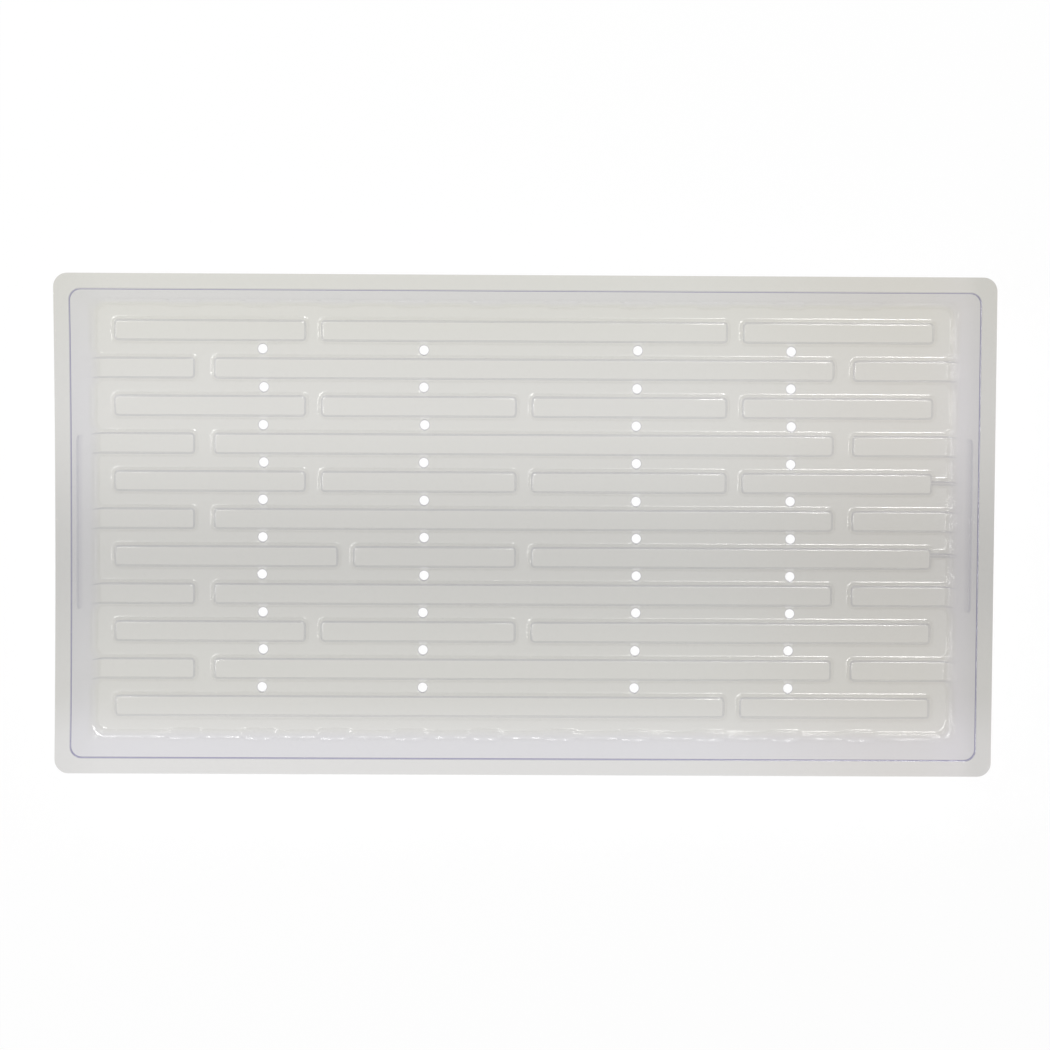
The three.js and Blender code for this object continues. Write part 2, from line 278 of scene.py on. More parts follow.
def row_lines(row):
    """The x and y lines of the floor grid along one row of bars, close together on every slope."""
    limit_x, limit_y = FLOOR_X - GRID_MARGIN, FLOOR_Y - GRID_MARGIN
    xs = [x + side * HOLE_CELL for x in HOLE_COLUMNS for side in (-1, 1)]
    for low, high in BARS + STUBS:
        if abs((low.y + high.y) / 2 - row) < BAR_WIDTH / 2:
            xs += [low.x + BAR_SLOPE_RUN - d for d in SLOPE_LINES]
            xs += [high.x - BAR_SLOPE_RUN + d for d in SLOPE_LINES]
    half_top = BAR_WIDTH / 2 - BAR_SLOPE_RUN
    ys = [row + side * (half_top + d) for d in SLOPE_LINES for side in (-1, 1)]
    ys += [web + d for web in WEBS if abs(web - row) < BAR_WIDTH / 2 for d in WEB_LINES]
    if row == ROW_CENTRES[0]:
        ys.append(-limit_y)
    if row == ROW_CENTRES[-1]:
        ys.append(limit_y)
    xs = [v for v in xs if abs(v) < limit_x - LINE_MERGE]
    return merged(xs + [-limit_x, limit_x], LONGEST_CELL), merged(ys)


def blended(points, blends, steps):
    """A profile through the first point, rounded past each inner point, to the last point."""
    profile = [points[0]]
    for before, corner, after, blend, count in zip(points, points[1:], points[2:], blends, steps):
        start = corner + (before - corner).normalized() * blend
        end = corner + (after - corner).normalized() * blend
        for k in range(count):
            t = k / (count - 1)
            profile.append(start * (1 - t) ** 2 + corner * 2 * t * (1 - t) + end * t ** 2)
    return profile + [points[-1]]


def wall_profile(mouth, floor, run, shoulder, flute=0.0, pad=0.0, ledge=LEDGE_Z):
    """(outward distance from the floor's edge, height) up one column of a wall and out along the rim.

    Below its shoulder the wall stands a little farther in. A flute pushes the foot in and meets the wall at
    the step. A pad pushes the wall in all the way up to its ledge.
    """
    reach = mouth - floor

    def on_wall(z, pushed):
        down = (STEP_Z - z) / (STEP_Z - MID_FLOOR)
        return reach - run * down - max(flute * down, pushed)

    foot_top = MID_FLOOR + FOOT_CHAMFER
    points = [
        Vector((-RING_INSET, MID_FLOOR)),
        Vector((on_wall(foot_top, pad) - SHOULDER - FOOT_CHAMFER, MID_FLOOR)),
        Vector((on_wall(foot_top, pad) - SHOULDER, foot_top)),
        Vector((on_wall(shoulder, pad) - SHOULDER, shoulder)),
        Vector((on_wall(shoulder, pad), shoulder)),
        Vector((on_wall(ledge - LEDGE_FALL, pad), ledge - LEDGE_FALL)),
        Vector((on_wall(ledge, 0.0), ledge)),
        Vector((reach, STEP_Z)),
        Vector((reach, MID_RIM)),
        Vector((reach + RIM_WIDTH - SHEET / 2, MID_RIM)),
    ]
    blends = (
        FOOT_BLEND, FOOT_BLEND, SHOULDER_BLEND, SHOULDER_BLEND,
        LEDGE_BLEND, LEDGE_BLEND, STEP_BLEND, RIM_BLEND)
    steps = (*FOOT_STEPS, len(LEDGE_BEND_SHADES), BEND_STEPS, BEND_STEPS, len(RIM_BEND_SHADES))
    profile = blended(points, blends, steps)
    foot_end = sum(FOOT_STEPS)
    a, b = profile[foot_end], profile[foot_end + 1]
    climb = [a.lerp(b, k / WALL_PARTS) for k in range(1, WALL_PARTS)]
    flat_start = profile[-2] + Vector((RIM_BLEND, 0))
    return profile[:foot_end + 1] + climb + profile[foot_end + 1:-1] + [flat_start, profile[-1]]


def flute_push(along, centres):
    """How far the nearest flute pushes a wall's foot in at this place along the wall."""
    off = min(abs(along - c) for c in centres)
    return FLUTE_DEPTH * (1 - smooth_step(FLUTE_LINES[0], FLUTE_LINES[-1], off))


def pad_push(y):
    """How far the plain pad pushes an end wall in."""
    return PAD_DEPTH * (1 - smooth_step(PAD_HALF_LENGTH - PAD_EDGE, PAD_HALF_LENGTH, abs(y)))


def pad_ledge(y):
    """Height of the pad's ledge, which turns down in a round corner at each end."""
    over = min(max(abs(y) - (PAD_HALF_LENGTH - PAD_CORNER), 0.0), PAD_CORNER)
    return LEDGE_Z - PAD_CORNER + math.sqrt(PAD_CORNER ** 2 - over ** 2)


def bow(y, z):
    """How far the left wall and its rim bow inward at the middle. The floor stays straight."""
    straight = TRAY_Y - RIM_CORNER
    return LEFT_BOW * max(1 - (y / straight) ** 2, 0.0) * (z - MID_FLOOR) / (MID_RIM - MID_FLOOR)


def end_column(side, y):
    """Points up the right (1) or the left (-1) end wall."""
    flute = flute_push(y, STUB_CENTRES)
    profile = wall_profile(MOUTH_X, FLOOR_X, END_WALL_RUN, END_SHOULDER_Z, flute, pad_push(y), pad_ledge(y))
    bowed = 1.0 if side < 0 else 0.0
    return [Vector((side * (FLOOR_X + u - bowed * bow(y, z)), y, z)) for u, z in profile]


def side_column(side, x):
    """Points up the back (1) or the front (-1) side wall."""
    flute = SIDE_FLUTE_SHARE * flute_push(x, SIDE_FLUTES)
    shoulder = SIDE_SHOULDER_Z + SHOULDER_LIFT * flute / (SIDE_FLUTE_SHARE * FLUTE_DEPTH)
    profile = wall_profile(MOUTH_Y, FLOOR_Y, SIDE_WALL_RUN, shoulder, flute)
    return [Vector((x, side * (FLOOR_Y + u), z)) for u, z in profile]


def corner_column(side_x, side_y, angle):
    """A column in a round corner, whose radius changes from the floor to the mouth and widens on the rim."""
    ends = wall_profile(MOUTH_X, FLOOR_X, END_WALL_RUN, END_SHOULDER_Z)
    sides = wall_profile(MOUTH_Y, FLOOR_Y, SIDE_WALL_RUN, SIDE_SHOULDER_Z)
    share = angle / (math.pi / 2)
    column = []
    for (ue, ze), (us, zs) in zip(ends, sides):
        z = ze + (zs - ze) * share
        climb = (z - MID_FLOOR) / (MID_RIM - MID_FLOOR)
        out = max(ue - (MOUTH_X - FLOOR_X), 0.0) / RIM_WIDTH
        r = FLOOR_CORNER + (MOUTH_CORNER - FLOOR_CORNER) * climb + (RIM_CORNER - MOUTH_CORNER) * out
        if not column:
            r = BASE_CORNER
        x = FLOOR_X + ue - r + r * math.cos(angle)
        y = FLOOR_Y + us - r + r * math.sin(angle)
        column.append(Vector((side_x * x, side_y * y, z)))
    return column


def end_stations(floor_ys):
    """y places of the end wall's columns: the floor's lines at the stubs, with flutes, pad and webs."""
    reach = SLOPE_LINES[-1] + BAR_WIDTH / 2 - BAR_SLOPE_RUN
    stations = []
    for c in STUB_CENTRES:
        stations += [y for y in floor_ys if abs(y - c) <= reach + LINE_MERGE]
        stations += [c + side * v for v in FLUTE_LINES if v > reach + LINE_MERGE for side in (-1, 1)]
        stations.append(c + ROW_PITCH)
    stations += [side * v for v in PAD_LINES for side in (-1, 1)]
    stations += [web + d for web in WEBS for d in WEB_LINES]
    return merged(stations + [STUB_CENTRES[0] - ROW_PITCH])


def side_stations():
    """x places of the side wall's columns, close together at the sides of every flute."""
    stations = []
    for c in SIDE_FLUTES:
        stations += [c + side * v for v in FLUTE_LINES for side in (-1, 1)]
        stations += [c, c + ROW_PITCH]
    return merged(stations + [SIDE_FLUTES[0] - ROW_PITCH])


def stitch(mesh, inner, outer):
    """Triangles between two rows of points that run side by side, each point with its place along the run."""
    i = j = 0
    while i < len(inner) - 1 or j < len(outer) - 1:
        inner_next = inner[i + 1][1] if i < len(inner) - 1 else math.inf
        outer_next = outer[j + 1][1] if j < len(outer) - 1 else math.inf
        if outer_next <= inner_next:
            mesh.faces.new((inner[i][0], outer[j][0], outer[j + 1][0]))
            j += 1
        else:
            mesh.faces.new((inner[i][0], outer[j][0], inner[i + 1][0]))
            i += 1


def floor_strips(mesh):
    """A strip of floor grid for each row of bars, stitched to the next, and the y lines of all of them."""
    weight = mesh.verts.layers.float["bar_weight"]
    strips, floor_ys = [], []
    for row in ROW_CENTRES:
        xs, ys = row_lines(row)
        strip = [[mesh.verts.new((x, y, MID_FLOOR)) for y in ys] for x in xs]
        for a, b in zip(strip, strip[1:]):
            for k in range(len(ys) - 1):
                mesh.faces.new((a[k], b[k], b[k + 1], a[k + 1]))
        for v in sum(strip, []):
            v[weight] = 1.0
        strips.append(strip)
        floor_ys += ys
    for front, back in zip(strips, strips[1:]):
        near = [(column[-1], -column[-1].co.x) for column in reversed(front)]
        far = [(column[0], -column[0].co.x) for column in reversed(back)]
        stitch(mesh, near, far)
    return strips, floor_ys


def wall_points(mesh, column, ledge=0.0):
    """Points up one column, with their shares of a bar's height, of the wall's painted cooler tone and of the
    painted violet shade.
    """
    layers = mesh.verts.layers.float
    weight, edge, drawn = layers["bar_weight"], layers["edge"], layers["drawn"]
    points = []
    for p in column:
        v = mesh.verts.new(p)
        v[weight] = 1 - smooth_step(MID_FLOOR + FOOT_CHAMFER, STUB_FADE_Z, p.z)
        # The wall's painted cooler tone grows up the wall and falls back to a share on the rim
        on_rim = smooth_step(STEP_Z, MID_RIM, p.z)
        v[drawn] = smooth_step(MID_FLOOR, STUB_FADE_Z, p.z) * (1 - on_rim) + RIM_SHARE * on_rim
        points.append(v)
    # The rim's bend lies before the two points of the flat rim, and the ledge after the foot and the climb;
    # both get painted violet shade, the ledge only on a pad
    for v, dark_line in zip(points[-2 - len(RIM_BEND_SHADES):], RIM_BEND_SHADES):
        v[edge] = dark_line
    for v, dark_line in zip(points[sum(FOOT_STEPS) + WALL_PARTS:], LEDGE_BEND_SHADES):
        v[edge] = dark_line * ledge
    return points


def wall_ring(mesh, floor_ys):
    """All the columns round the tray, each with its place along its side, and the runs of columns by side.

    A run gives where its corner begins, where that corner ends, and where the side ends.
    """
    turns = [math.pi / 2 * k / CORNER_STEPS for k in range(CORNER_STEPS + 1)]
    ends, sides = end_stations(floor_ys), side_stations()
    straights = (
        (1, -1, turns[::-1], [(end_column(1, y), y, pad_push(y) / PAD_DEPTH) for y in ends]),
        (1, 1, turns, [(side_column(1, x), -x, 0.0) for x in reversed(sides)]),
        (-1, 1, turns[::-1], [(end_column(-1, y), -y, pad_push(y) / PAD_DEPTH) for y in reversed(ends)]),
        (-1, -1, turns, [(side_column(-1, x), x, 0.0) for x in sides]),
    )
    ring, runs = [], []
    for side_x, side_y, angles, columns in straights:
        begin = len(ring)
        ring += [(wall_points(mesh, corner_column(side_x, side_y, angle)), None) for angle in angles]
        corner_end = len(ring)
        ring += [(wall_points(mesh, column, ledge), along) for column, along, ledge in columns]
        runs.append((begin, corner_end, len(ring)))
    return ring, runs


def middle_surface():
    """The whole sheet without bars or thickness: a floor grid, and columns that climb the walls all round."""
    mesh = bmesh.new()
    for name in ("bar_weight", "edge", "drawn"):
        mesh.verts.layers.float.new(name)
    strips, floor_ys = floor_strips(mesh)
    ring, runs = wall_ring(mesh, floor_ys)
    count = len(ring)
    for i in range(count):
        a, b = ring[i][0], ring[(i + 1) % count][0]
        for j in range(len(a) - 1):
            mesh.faces.new((a[j], a[j + 1], b[j + 1], b[j]))
    borders = [
        [(v, v.co.y) for strip in strips for v in strip[-1]],
        [(column[-1], -column[-1].co.x) for column in reversed(strips[-1])],
        [(v, -v.co.y) for strip in reversed(strips) for v in reversed(strip[0])],
        [(column[0], column[0].co.x) for column in strips[0]],
    ]
    for (begin, corner_end, end), inner in zip(runs, borders):
        for i in range(begin, corner_end - 1):
            mesh.faces.new((inner[0][0], ring[i][0][0], ring[i + 1][0][0]))
        first = (ring[corner_end - 1][0][0], inner[0][1])
        last = (ring[end % count][0][0], inner[-1][1])
        outer = [(ring[i][0][0], ring[i][1]) for i in range(corner_end, end)]
        stitch(mesh, inner, [first, *outer, last])
    mesh.normal_update()
    return mesh


def new_object(name, mesh):
    """An object at the origin from a bmesh."""
    data = bpy.data.meshes.new(name)
    mesh.to_mesh(data)
    mesh.free()
    made = bpy.data.objects.new(name, data)
    bpy.context.collection.objects.link(made)
    return made


def bar_tops():
    """The flat tops of bars, stubs and webs as outlines on z 0. Stubs and webs run on under the end walls."""
    mesh = bmesh.new()
    for low, high in BARS + STUBS:
        x0, x1 = low.x + BAR_SLOPE_RUN, high.x - BAR_SLOPE_RUN
        if high.x >= FLOOR_X - LINE_MERGE:
            x1 = FLOOR_X + STUB_OVERRUN
        if low.x <= -FLOOR_X + LINE_MERGE:
            x0 = -FLOOR_X - STUB_OVERRUN
        y0, y1 = low.y + BAR_SLOPE_RUN, high.y - BAR_SLOPE_RUN
        corners = ((x1, y1, -1, -1), (x0, y1, 1, -1), (x0, y0, 1, 1), (x1, y0, -1, 1))
        outline = []
        for quarter, (x, y, in_x, in_y) in enumerate(corners):
            middle = Vector((x + in_x * BAR_CORNER, y + in_y * BAR_CORNER, 0))
            for k in range(BAR_CORNER_STEPS + 1):
                turn = math.pi / 2 * (quarter + k / BAR_CORNER_STEPS)
                outline.append(middle + BAR_CORNER * Vector((math.cos(turn), math.sin(turn), 0)))
        mesh.faces.new([mesh.verts.new(p) for p in outline])
    for web in WEBS:
        x0 = max(high.x for low, high in BARS if low.y < web < high.y) - BAR_SLOPE_RUN
        x1 = FLOOR_X + STUB_OVERRUN
        y0, y1 = web - WEB_TOP / 2, web + WEB_TOP / 2
        mesh.faces.new([mesh.verts.new((x, y, 0)) for x, y in ((x0, y0), (x1, y0), (x1, y1), (x0, y1))])
    return new_object("bar_tops", mesh)


# Geometry nodes


def new_tree(name, inputs):
    """An empty geometry tree with named inputs, its input node and its output node."""
    tree = bpy.data.node_groups.new(name, "GeometryNodeTree")
    tree.interface.new_socket("Geometry", in_out="INPUT", socket_type="NodeSocketGeometry")
    tree.interface.new_socket("Geometry", in_out="OUTPUT", socket_type="NodeSocketGeometry")
    for label, kind in inputs:
        tree.interface.new_socket(label, in_out="INPUT", socket_type=kind)
    return tree, add(tree, "NodeGroupInput").outputs, add(tree, "NodeGroupOutput").inputs


def use_tree(made, tree, values):
    """Adds the tree to an object as a modifier, with its inputs set by their identifiers."""
    modifier = made.modifiers.new(tree.name, "NODES")
    modifier.node_group = tree
    for item in tree.interface.items_tree:
        if item.in_out == "INPUT" and item.name in values:
            modifier[item.identifier] = values[item.name]


def raised_bars_tree():
    """Lifts the sheet over the bar tops. The height falls off with the distance from the nearest top."""
    tree, given, result = new_tree("Raised Bars", [
        ("Bar Tops", "NodeSocketObject"),
        ("Bar Height", "NodeSocketFloat"),
        ("Slope Run", "NodeSocketFloat"),
        ("Top Round", "NodeSocketFloat"),
        ("Foot Round", "NodeSocketFloat"),
        ("Edge Start", "NodeSocketFloat"),
        ("Edge Peak", "NodeSocketFloat"),
        ("Edge End", "NodeSocketFloat"),
        ("Edge Tint", "NodeSocketFloat"),
    ])
    tops = add(tree, "GeometryNodeObjectInfo", i0=given["Bar Tops"]).outputs["Geometry"]
    place = add(tree, "ShaderNodeSeparateXYZ", i0=add(tree, "GeometryNodeInputPosition").outputs[0])
    flat = add(tree, "ShaderNodeCombineXYZ", X=place.outputs["X"], Y=place.outputs["Y"])
    near = add(tree, "GeometryNodeProximity", {"target_element": "FACES"},
               i0=tops, Sample_Position=flat.outputs[0])
    outline = add(tree, "GeometryNodeProximity", {"target_element": "EDGES"},
                  i0=tops, Sample_Position=flat.outputs[0])

    # The distance beyond the outline, negative on a top
    twice = add(tree, "ShaderNodeMath", {"operation": "MULTIPLY"}, i0=near.outputs["Distance"], i1=2.0)
    beyond = add(tree, "ShaderNodeMath", {"operation": "SUBTRACT"},
                 i0=twice.outputs[0], i1=outline.outputs["Distance"])

    # The slope, rounded at its top and its foot
    steep = add(tree, "ShaderNodeMath", {"operation": "DIVIDE"},
                i0=given["Bar Height"], i1=given["Slope Run"])
    fall = add(tree, "ShaderNodeMath", {"operation": "MULTIPLY"}, i0=beyond.outputs[0], i1=steep.outputs[0])
    rise = add(tree, "ShaderNodeMath", {"operation": "SUBTRACT"}, i0=given["Bar Height"], i1=fall.outputs[0])
    capped = add(tree, "ShaderNodeMath", {"operation": "SMOOTH_MIN"},
                 i0=rise.outputs[0], i1=given["Bar Height"], i2=given["Top Round"])
    footed = add(tree, "ShaderNodeMath", {"operation": "SMOOTH_MAX"},
                 i0=capped.outputs[0], i1=0.0, i2=given["Foot Round"])
    weight = add(tree, "GeometryNodeInputNamedAttribute", {"data_type": "FLOAT"}, Name="bar_weight")
    lift = add(tree, "ShaderNodeMath", {"operation": "MULTIPLY"},
               i0=footed.outputs[0], i1=weight.outputs["Attribute"])
    offset = add(tree, "ShaderNodeCombineXYZ", Z=lift.outputs[0])

    # Painted shade: the dark violet line just outside a top edge, standing for the dark band that refraction
    # gives there, strongest at its peak
    nearer = add(tree, "ShaderNodeMapRange", i0=beyond.outputs[0],
                 i1=given["Edge Start"], i2=given["Edge Peak"], i3=0.0, i4=given["Edge Tint"])
    farther = add(tree, "ShaderNodeMapRange", i0=beyond.outputs[0],
                  i1=given["Edge Peak"], i2=given["Edge End"], i3=given["Edge Tint"], i4=0.0)
    level = add(tree, "ShaderNodeMath", {"operation": "MINIMUM"}, i0=nearer.outputs[0], i1=farther.outputs[0])
    dark_line = add(tree, "ShaderNodeMath", {"operation": "MULTIPLY"},
               i0=level.outputs[0], i1=weight.outputs["Attribute"])
    before = add(tree, "GeometryNodeInputNamedAttribute", {"data_type": "FLOAT"}, Name="edge")
    most = add(tree, "ShaderNodeMath", {"operation": "MAXIMUM"},
               i0=dark_line.outputs[0], i1=before.outputs["Attribute"])
    with_dark_line = add(tree, "GeometryNodeStoreNamedAttribute", {"data_type": "FLOAT", "domain": "POINT"},
                 Geometry=given["Geometry"], Name="edge", Value=most.outputs[0])
    moved = add(tree, "GeometryNodeSetPosition", Geometry=with_dark_line.outputs[0], Offset=offset.outputs[0])
    tree.links.new(moved.outputs[0], result[0])
    return tree


def drain_holes_tree(material):
    """Punches a round hole through the sheet in every channel, in columns, each hole a little astray."""
    columns = [f"Column {k + 1}" for k in range(len(HOLE_COLUMNS))]
    tree, given, result = new_tree("Drain Holes", [
        ("Hole Diameter", "NodeSocketFloat"),
        ("Hole Lip", "NodeSocketFloat"),
        ("Punch Depth", "NodeSocketFloat"),
        ("Sheet", "NodeSocketFloat"),
        ("Steep", "NodeSocketFloat"),
        ("Channel Pitch", "NodeSocketFloat"),
        ("First Channel", "NodeSocketFloat"),
        ("Channels", "NodeSocketInt"),
        ("Stray", "NodeSocketFloat"),
        ("Seed", "NodeSocketInt"),
        *[(label, "NodeSocketFloat") for label in columns],
    ])
    step = add(tree, "ShaderNodeCombineXYZ", Y=given["Channel Pitch"])
    spots = add(tree, "GeometryNodeJoinGeometry")
    for label in columns:
        start = add(tree, "ShaderNodeCombineXYZ", X=given[label], Y=given["First Channel"])
        line = add(tree, "GeometryNodeMeshLine", {"mode": "OFFSET"}, Count=given["Channels"],
                   Offset=step.outputs[0], Start_Location=start.outputs[0])
        tree.links.new(line.outputs[0], spots.inputs[0])
    astray = add(tree, "FunctionNodeRandomValue", {"data_type": "FLOAT_VECTOR"},
                 Seed=given["Seed"], Min=(-1.0, -0.5, 0.0), Max=(1.0, 0.5, 0.0))
    shift = add(tree, "ShaderNodeVectorMath", {"operation": "SCALE"},
                i0=astray.outputs[0], Scale=given["Stray"])
    strayed = add(tree, "GeometryNodeSetPosition", Geometry=spots.outputs[0], Offset=shift.outputs[0])
    down = add(tree, "ShaderNodeCombineXYZ", Z=-PUNCH_OVERRUN)
    lowered = add(tree, "GeometryNodeSetPosition", Geometry=strayed.outputs[0], Offset=down.outputs[0])

    # A punch that is wider at its top leaves the lip
    radius = add(tree, "ShaderNodeMath", {"operation": "MULTIPLY"}, i0=given["Hole Diameter"], i1=0.5)
    flare = add(tree, "ShaderNodeMath", {"operation": "ADD"}, i0=radius.outputs[0], i1=given["Hole Lip"])
    punch = add(tree, "GeometryNodeMeshCone", Vertices=HOLE_SIDES, Depth=given["Punch Depth"],
                Radius_Top=flare.outputs[0], Radius_Bottom=radius.outputs[0])
    punches = add(tree, "GeometryNodeInstanceOnPoints",
                  Points=lowered.outputs[0], Instance=punch.outputs["Mesh"])
    solid = add(tree, "GeometryNodeRealizeInstances", Geometry=punches.outputs[0])
    punched = add(tree, "GeometryNodeMeshBoolean", {"operation": "DIFFERENCE", "solver": "MANIFOLD"},
                  Mesh_1=given["Geometry"], Mesh_2=solid.outputs[0])

    # Steep faces within the sheet's thickness are cut edges, kept for the painted dark ring round each hole
    facing = add(tree, "ShaderNodeSeparateXYZ", i0=add(tree, "GeometryNodeInputNormal").outputs[0])
    level = add(tree, "ShaderNodeMath", {"operation": "ABSOLUTE"}, i0=facing.outputs["Z"])
    steep = add(tree, "ShaderNodeMath", {"operation": "LESS_THAN"}, i0=level.outputs[0], i1=given["Steep"])
    place = add(tree, "ShaderNodeSeparateXYZ", i0=add(tree, "GeometryNodeInputPosition").outputs[0])
    low = add(tree, "ShaderNodeMath", {"operation": "LESS_THAN"}, i0=place.outputs["Z"], i1=given["Sheet"])
    cut = add(tree, "ShaderNodeMath", {"operation": "MULTIPLY"}, i0=steep.outputs[0], i1=low.outputs[0])
    marked = add(tree, "GeometryNodeStoreNamedAttribute", {"data_type": "FLOAT", "domain": "FACE"},
                 Geometry=punched.outputs[0], Name="cut", Value=cut.outputs[0])
    real = add(tree, "GeometryNodeRealizeInstances", Geometry=marked.outputs[0])
    dressed = add(tree, "GeometryNodeSetMaterial", Geometry=real.outputs[0], Material=material)
    tree.links.new(dressed.outputs[0], result[0])
    return tree


# Materials


def clear_sheet():
    """Clear PET sheet, drawn over a mould: glossy, nearly colourless, with painted dark violet lines at its
    sharp bends and cut edges, which stand for the dark bands that refraction gives there.

    A sheet this thin hardly bends the view, so light passes at an index near 1 and the coat alone is glossy.
    """
    material = bpy.data.materials.new("clear_pet_sheet")
    material.use_nodes = True
    tree = material.node_tree
    tree.nodes.clear()
    place = add(tree, "ShaderNodeTexCoord").outputs["Object"]

    # Faint haze and a slow wave from the mould
    haze = add(tree, "ShaderNodeTexNoise", Vector=place, Scale=1 / HAZE_SIZE, Detail=3.0, Roughness=0.55)
    rough = add(tree, "ShaderNodeMapRange", i0=haze.outputs[0], i1=HAZE_RANGE[0], i2=HAZE_RANGE[1],
                i3=HAZE_ROUGHNESS[0], i4=HAZE_ROUGHNESS[1])
    wave = add(tree, "ShaderNodeTexNoise", Vector=place, Scale=1 / WAVE_SIZE, Detail=1.0, Roughness=0.4)
    wavy = add(tree, "ShaderNodeBump", Strength=WAVE_STRENGTH, Distance=WAVE_HEIGHT, Height=wave.outputs[0])

    # Colour: floor, or wall with its painted cooler tone, and the painted violet shade of bends and cut edges
    # on top
    drawn = add(tree, "ShaderNodeAttribute", {"attribute_name": "drawn"})
    clear = add(tree, "ShaderNodeMix", {"data_type": "RGBA"},
                i0=drawn.outputs["Fac"], i6=linear(FLOOR_COLOUR), i7=linear(WALL_COLOUR_AND_SLANT_SHADE))
    edge = add(tree, "ShaderNodeAttribute", {"attribute_name": "edge"})
    cut = add(tree, "ShaderNodeAttribute", {"attribute_name": "cut"})
    # Painted shade: the cut edges get part of the dark line, for the dark ring round each hole
    cut_dark_line = add(tree, "ShaderNodeMath", {"operation": "MULTIPLY"}, i0=cut.outputs["Fac"], i1=CUT_EDGE_SHADE)
    dark_line = add(tree, "ShaderNodeMath", {"operation": "MAXIMUM"},
               i0=edge.outputs["Fac"], i1=cut_dark_line.outputs[0])
    colour = add(tree, "ShaderNodeMix", {"data_type": "RGBA"},
                 i0=dark_line.outputs[0], i6=clear.outputs[2], i7=linear(BEND_SHADE_COLOUR))

    # Gloss: whole on the floor and the bars, weaker on the walls
    facing = add(tree, "ShaderNodeSeparateXYZ", i0=add(tree, "ShaderNodeNewGeometry").outputs["Normal"])
    level = add(tree, "ShaderNodeMath", {"operation": "ABSOLUTE"}, i0=facing.outputs["Z"])
    gloss = add(tree, "ShaderNodeMapRange", i0=level.outputs[0],
                i1=COAT_FADE[0], i2=COAT_FADE[1], i3=WALL_COAT, i4=1.0)
    sheet = add(tree, "ShaderNodeBsdfPrincipled", Base_Color=colour.outputs[2], Roughness=rough.outputs[0],
                IOR=SHEET_IOR, Normal=wavy.outputs[0], Transmission_Weight=1.0, Coat_Weight=gloss.outputs[0],
                Coat_Roughness=COAT_ROUGHNESS, Coat_IOR=COAT_IOR, Coat_Normal=wavy.outputs[0])
    body = add(tree, "ShaderNodeVolumeAbsorption", Color=linear(BODY_COLOUR), Density=BODY_DENSITY)
    add(tree, "ShaderNodeOutputMaterial", Surface=sheet.outputs[0], Volume=body.outputs[0])
    return material


def shade_ramp(tree, along, stops):
    """A soft colour ramp over a length, with its stops in millimetres."""
    first, last = stops[0][0], stops[-1][0]
    share = add(tree, "ShaderNodeMapRange", i0=along, i1=first * MM, i2=last * MM)
    ramp = add(tree, "ShaderNodeValToRGB", Fac=share.outputs[0])
    ramp.color_ramp.interpolation = "EASE"
    marks = ramp.color_ramp.elements
    while len(marks) < len(stops):
        marks.new(0.5)
    for mark, (where, colour) in zip(marks, stops):
        mark.position = (where - first) / (last - first)
        mark.color = linear(colour)
    return ramp.outputs["Color"]


def white_table():
    """Matt white table, plain white where it is seen straight and softly shaded through the sheet."""
    material = bpy.data.materials.new("white_table")
    material.use_nodes = True
    tree = material.node_tree
    tree.nodes.clear()
    path = add(tree, "ShaderNodeLightPath").outputs
    place = add(tree, "ShaderNodeSeparateXYZ", i0=add(tree, "ShaderNodeTexCoord").outputs["Object"]).outputs

    # The shade, which ends with the tray's footprint
    tone = add(tree, "ShaderNodeMix", {"data_type": "RGBA", "blend_type": "MULTIPLY"}, i0=1.0,
               i6=shade_ramp(tree, place["X"], SHADE_ACROSS), i7=shade_ramp(tree, place["Y"], SHADE_ALONG))
    under = 1.0
    for axis, reach in SHADE_REACH.items():
        off = add(tree, "ShaderNodeMath", {"operation": "ABSOLUTE"}, i0=place[axis])
        fade = add(tree, "ShaderNodeMapRange", i0=off.outputs[0],
                   i1=reach, i2=reach + SHADE_FADE, i3=1.0, i4=0.0)
        both = add(tree, "ShaderNodeMath", {"operation": "MULTIPLY"}, i0=fade.outputs[0], i1=under)
        under = both.outputs[0]
    shade = add(tree, "ShaderNodeMix", {"data_type": "RGBA"}, i0=under, i6=linear(WHITE), i7=tone.outputs[2])

    # Plain white to the eye and in reflections, with a little of the tray's shadow
    seen = add(tree, "ShaderNodeMath", {"operation": "MAXIMUM"},
               i0=path["Is Camera Ray"], i1=path["Is Glossy Ray"])
    share = add(tree, "ShaderNodeMath", {"operation": "MULTIPLY"}, i0=seen.outputs[0], i1=TABLE_WHITE)
    matt = add(tree, "ShaderNodeBsdfDiffuse", Color=linear(TABLE_COLOUR))
    white = add(tree, "ShaderNodeEmission", Color=linear(WHITE), Strength=1.0)
    shaded = add(tree, "ShaderNodeEmission", Color=shade.outputs[2], Strength=1.0)
    straight = add(tree, "ShaderNodeMixShader", i0=share.outputs[0], i1=matt.outputs[0], i2=white.outputs[0])
    surface = add(tree, "ShaderNodeMixShader",
                  i0=path["Is Transmission Ray"], i1=straight.outputs[0], i2=shaded.outputs[0])
    add(tree, "ShaderNodeOutputMaterial", Surface=surface.outputs[0])
    return material


# The tray


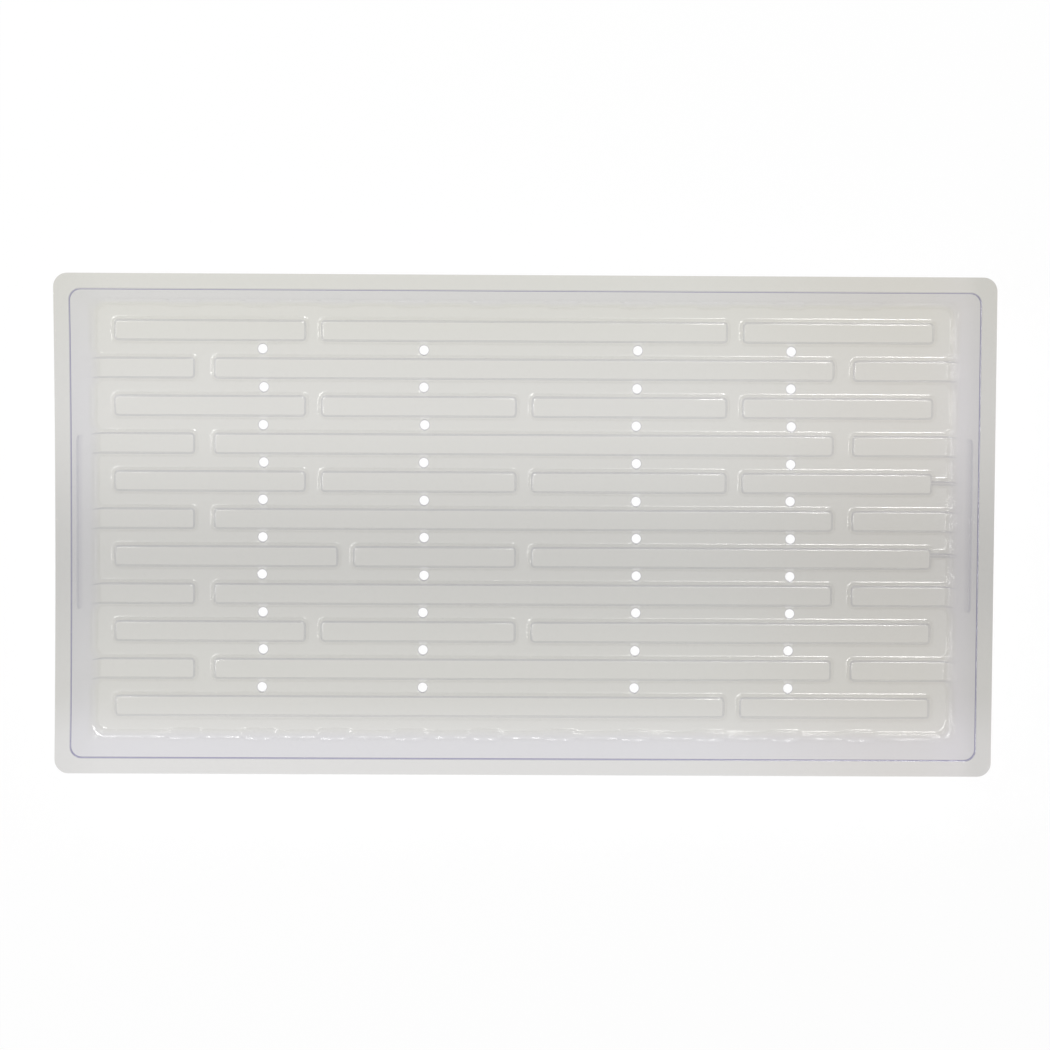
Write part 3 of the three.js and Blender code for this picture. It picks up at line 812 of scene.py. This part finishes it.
def formed_tray():
    """The finished sheet as one closed mesh."""
    tops = bar_tops()
    tray = new_object("formed_tray", middle_surface())
    # Rounding takes a sixth of its reach off the edge of a bar's top, so that much is added
    use_tree(tray, raised_bars_tree(), {
        "Bar Tops": tops,
        "Bar Height": BAR_HEIGHT + BAR_TOP_ROUND / 6,
        "Slope Run": BAR_SLOPE_RUN,
        "Top Round": BAR_TOP_ROUND,
        "Foot Round": BAR_FOOT_ROUND,
        "Edge Start": BAR_EDGE_START,
        "Edge Peak": BAR_EDGE_PEAK,
        "Edge End": BAR_EDGE_END,
        "Edge Tint": BAR_EDGE_SHADE,
    })
    skin = tray.modifiers.new("Sheet", "SOLIDIFY")
    skin.thickness = SHEET
    skin.offset = 0.0
    use_tree(tray, drain_holes_tree(clear_sheet()), {
        "Hole Diameter": HOLE_DIAMETER,
        "Hole Lip": HOLE_LIP,
        "Punch Depth": SHEET + 2 * PUNCH_OVERRUN,
        "Sheet": SHEET,
        "Steep": HOLE_STEEP,
        "Channel Pitch": ROW_PITCH,
        "First Channel": ROW_CENTRES[0] + ROW_PITCH / 2,
        "Channels": len(ROW_CENTRES) - 1,
        "Stray": HOLE_STRAY,
        "Seed": HOLE_SEED,
        **{f"Column {k + 1}": x for k, x in enumerate(HOLE_COLUMNS)},
    })
    evaluated = tray.evaluated_get(bpy.context.evaluated_depsgraph_get())
    made = bpy.data.meshes.new_from_object(evaluated)
    made.name = "formed_tray"
    tray.modifiers.clear()
    tray.data = made
    bpy.data.objects.remove(tops)
    made.shade_smooth()
    made.set_sharp_from_angle(angle=SHARP_ANGLE)
    return tray


tray = formed_tray()
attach(tray, "root")
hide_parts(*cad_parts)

# Floor, light and camera

table_mesh = bmesh.new()
bmesh.ops.create_grid(table_mesh, x_segments=1, y_segments=1, size=TABLE_HALF)
table = new_object("table", table_mesh)
table.location.z = -TABLE_DROP
table.data.materials.append(white_table())

# White to the eye, in reflections and through the sheet, and a low fill for the table's shadow
world = bpy.data.worlds.new("studio")
bpy.context.scene.world = world
world.use_nodes = True
sky = world.node_tree
sky.nodes.clear()
ray = add(sky, "ShaderNodeLightPath").outputs
backdrop = add(sky, "ShaderNodeBackground", Color=linear(WHITE), Strength=1.0)
fill = add(sky, "ShaderNodeBackground", Color=linear(WHITE), Strength=ROOM_FILL)
room = add(sky, "ShaderNodeMixShader", i0=ray["Is Diffuse Ray"], i1=backdrop.outputs[0], i2=fill.outputs[0])
add(sky, "ShaderNodeOutputWorld", Surface=room.outputs[0])


def softbox(name, place, aim, width, height, power, through=False):
    """A rectangular area light. One that shines through meets no shade from the clear walls."""
    lamp = bpy.data.lights.new(name, "AREA")
    lamp.shape = "RECTANGLE"
    lamp.size = width
    lamp.size_y = height
    lamp.energy = power
    lamp.use_shadow = not through
    held = bpy.data.objects.new(name, lamp)
    held.location = place
    held.rotation_euler = (Vector(aim) - Vector(place)).to_track_quat("-Z", "Y").to_euler()
    held.visible_camera = False
    bpy.context.collection.objects.link(held)


# The back light draws the long highlights at the right, the other two the ends and corners of the bars
softbox("back_softbox", place=(0.47, 1.39, 1.44), aim=(0.47, 0, 0),
        width=0.36, height=0.42, power=16, through=True)
softbox("left_softbox", place=(-1.45, -0.055, 1.38), aim=(0, -0.055, 0),
        width=0.57, height=0.385, power=11)
softbox("corner_softbox", place=(-0.98, 0.98, 1.44), aim=(0, 0, 0),
        width=1.2, height=0.3, power=22, through=True)

camera = bpy.data.objects.new("camera", bpy.data.cameras.new("camera"))
bpy.context.collection.objects.link(camera)
toward = Vector((-math.tan(LEAN_LEFT), math.tan(LEAN_BACK), 1.0)).normalized()
right = Vector((0, 1, 0)).cross(toward).normalized()
up = toward.cross(right)
turned_right = right * math.cos(ROLL) + up * math.sin(ROLL)
turned_up = up * math.cos(ROLL) - right * math.sin(ROLL)
turn = Matrix((turned_right, turned_up, toward)).transposed().to_4x4()
camera.matrix_world = Matrix.Translation(AIM + toward * CAMERA_DISTANCE) @ turn
camera.data.sensor_width = SENSOR
camera.data.lens = SENSOR * CAMERA_DISTANCE / FRAME_WIDTH
bpy.context.scene.camera = camera
bpy.context.scene.view_settings.view_transform = "Standard"
